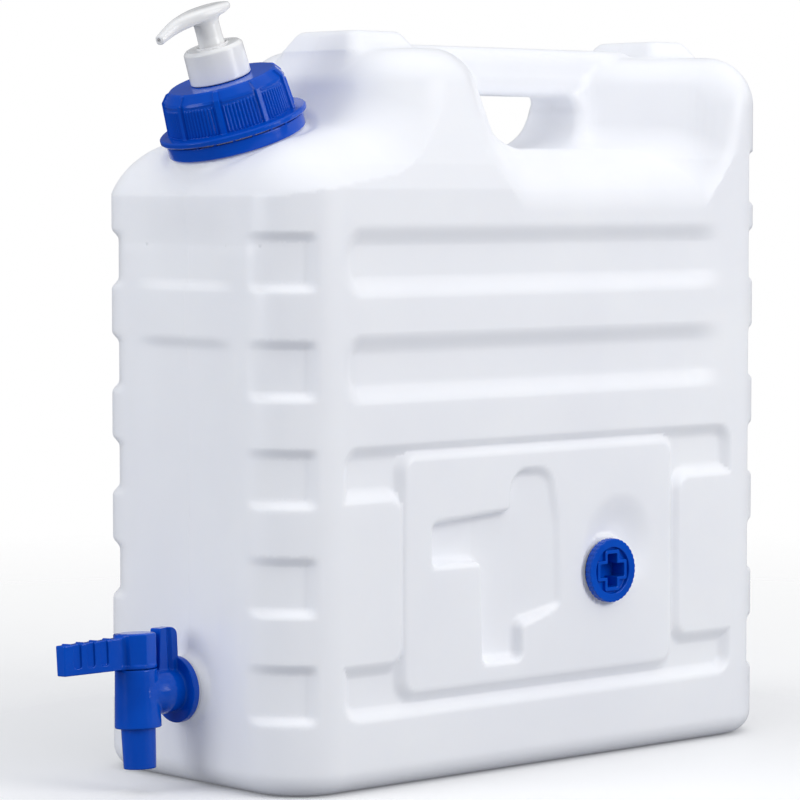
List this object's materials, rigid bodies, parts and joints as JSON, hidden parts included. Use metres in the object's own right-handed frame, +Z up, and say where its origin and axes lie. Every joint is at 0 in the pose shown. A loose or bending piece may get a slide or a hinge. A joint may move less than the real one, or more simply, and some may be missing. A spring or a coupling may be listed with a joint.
{
  "type": "jerry can",
  "caption": "Flat rectangular water can with carrying handle, drain tap, screw cap with soap pump, and a stowage pocket with a parked closing plug.",
  "frame": {"origin": "centre of the base, on the floor plane", "axes": "+Z up, -Y towards the tap and cap end, +X towards the long side with the stowage pocket and plug"},
  "size_m": [0.1829, 0.4679, 0.4294],
  "materials": {
    "milky_hdpe": "translucent natural blow-moulded polyethylene, satin",
    "blue_plastic": "saturated royal blue injection-moulded plastic, semi gloss",
    "white_plastic": "white injection-moulded plastic, gloss",
    "clear_plastic": "frosted natural plastic",
    "silicone": "natural silicone",
    "black_rubber": "black nitrile rubber",
    "steel": "bright stainless steel"
  },
  "bodies": {
    "canister": {"canister_body": "milky_hdpe", "tamper_ring": "blue_plastic"},
    "cap_seat": {"cap_seal": "silicone"},
    "cap": {"screw_cap": "blue_plastic", "soap_bottle": "clear_plastic"},
    "pump": {"pump_gasket": "silicone", "pump_housing": "white_plastic", "pump_guide": "white_plastic", "pump_spring": "steel", "dip_tube": "clear_plastic"},
    "collar": {"pump_collar": "white_plastic"},
    "plunger": {"pump_stem": "white_plastic", "piston_seal": "silicone"},
    "head": {"pump_head": "white_plastic"},
    "ball": {"inlet_ball": "steel"},
    "tap_seat": {"tap_gasket": "black_rubber"},
    "tap": {"tap_body": "blue_plastic"},
    "lever": {"tap_lever": "blue_plastic", "core_o_ring_upper": "black_rubber", "core_o_ring_lower": "black_rubber"},
    "plug_seat": {"plug_gasket": "black_rubber"},
    "plug": {"parking_plug": "blue_plastic"}
  },
  "joints": [
    {"name": "cap_lift", "type": "slide", "parent": "canister", "child": "cap_seat", "axis": [0, -0.3289, 0.9444], "range_m": [0, 0.009]},
    {"name": "cap_turn", "type": "hinge", "parent": "cap_seat", "child": "cap", "pos_m": [0, -0.1537, 0.3532], "axis": [0, -0.3289, 0.9444], "range_deg": [0, 540]},
    {"name": "pump_lift", "type": "slide", "parent": "cap", "child": "pump", "axis": [0, -0.3289, 0.9444], "range_m": [0, 0.0063]},
    {"name": "collar_turn", "type": "hinge", "parent": "pump", "child": "collar", "pos_m": [0, -0.1537, 0.3532], "axis": [0, -0.3289, 0.9444], "range_deg": [0, 540]},
    {"name": "head_press", "type": "slide", "parent": "pump", "child": "plunger", "axis": [0, 0.3289, -0.9444], "range_m": [0, 0.01], "stiffness_N_per_m": 300, "springref_m": -0.008, "deforming": ["pump_spring"]},
    {"name": "head_swivel", "type": "hinge", "parent": "plunger", "child": "head", "pos_m": [0, -0.1537, 0.3532], "axis": [0, -0.3289, 0.9444], "continuous": true},
    {"name": "ball_lift", "type": "slide", "parent": "pump", "child": "ball", "axis": [0, -0.3289, 0.9444], "range_m": [0, 0.0015]},
    {"name": "tap_back_out", "type": "slide", "parent": "canister", "child": "tap_seat", "axis": [0, -1, 0], "range_m": [0, 0.006]},
    {"name": "tap_turn", "type": "hinge", "parent": "tap_seat", "child": "tap", "pos_m": [0, -0.1938, 0.053], "axis": [0, -1, 0], "range_deg": [0, 720]},
    {"name": "lever_turn", "type": "hinge", "parent": "tap", "child": "lever", "pos_m": [0, -0.2256, 0.053], "axis": [-0.061, 0, 0.9981], "range_deg": [0, 90]},
    {"name": "plug_back_out", "type": "slide", "parent": "canister", "child": "plug_seat", "axis": [1, 0, 0], "range_m": [0, 0.006]},
    {"name": "plug_turn", "type": "hinge", "parent": "plug_seat", "child": "plug", "pos_m": [0.0874, 0.0469, 0.1078], "axis": [1, 0, 0], "range_deg": [0, 720]}
  ],
  "couplings": [
    {"joint": "cap_turn", "follows": "cap_lift", "rad_per_m": 1047.2},
    {"joint": "collar_turn", "follows": "pump_lift", "rad_per_m": 1496},
    {"joint": "tap_turn", "follows": "tap_back_out", "rad_per_m": 2094.4},
    {"joint": "plug_turn", "follows": "plug_back_out", "rad_per_m": 2094.4}
  ]
}
